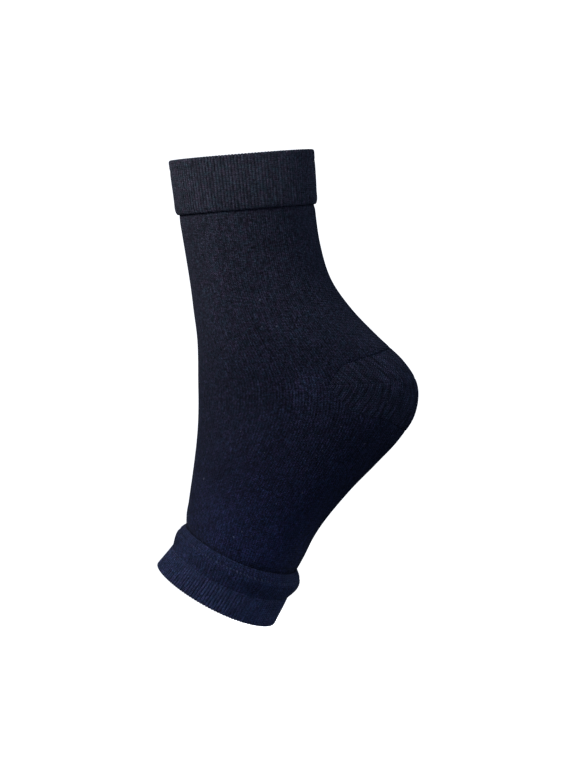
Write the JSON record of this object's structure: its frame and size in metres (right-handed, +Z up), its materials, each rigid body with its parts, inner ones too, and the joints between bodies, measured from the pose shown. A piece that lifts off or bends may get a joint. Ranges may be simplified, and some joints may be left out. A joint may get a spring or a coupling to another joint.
{
  "type": "open-toe compression sock",
  "caption": "Short knitted compression sock with a ribbed ankle cuff, a heel pocket and a ribbed band round its open toe end, in the shape it has when worn on a pointed foot",
  "frame": {"origin": "centre of the wearer's ankle on the centre line of the leg, where the sock sits on its wearer", "axes": "+Z runs up the leg to the top opening, +X points back to the heel, and the foot and toe opening reach forward and down to -X and -Z; the XZ plane divides the sock into two equal sides"},
  "size_m": [0.1477, 0.089, 0.2538],
  "materials": {
    "ribbed_knit": "matt, fine ribs running up the leg, charcoal navy nylon and elastane knit",
    "plain_knit": "matt, fine plain knit with a soft fuzz, dark navy nylon and elastane",
    "heel_knit": "matt, fine plain knit whose lines fan out from the heel's seam, dark navy",
    "roll_knit": "matt, fine plain knit gathered into a soft ridge, dark navy",
    "toe_rib_knit": "matt, ribs running out to the rim, dark navy with a bluer cast"
  },
  "bodies": {
    "root": {"ankle_cuff": "ribbed_knit", "leg_foot_sleeve": "plain_knit", "heel_pocket": "heel_knit", "toe_roll": "roll_knit", "toe_band": "toe_rib_knit"}
  },
  "joints": []
}
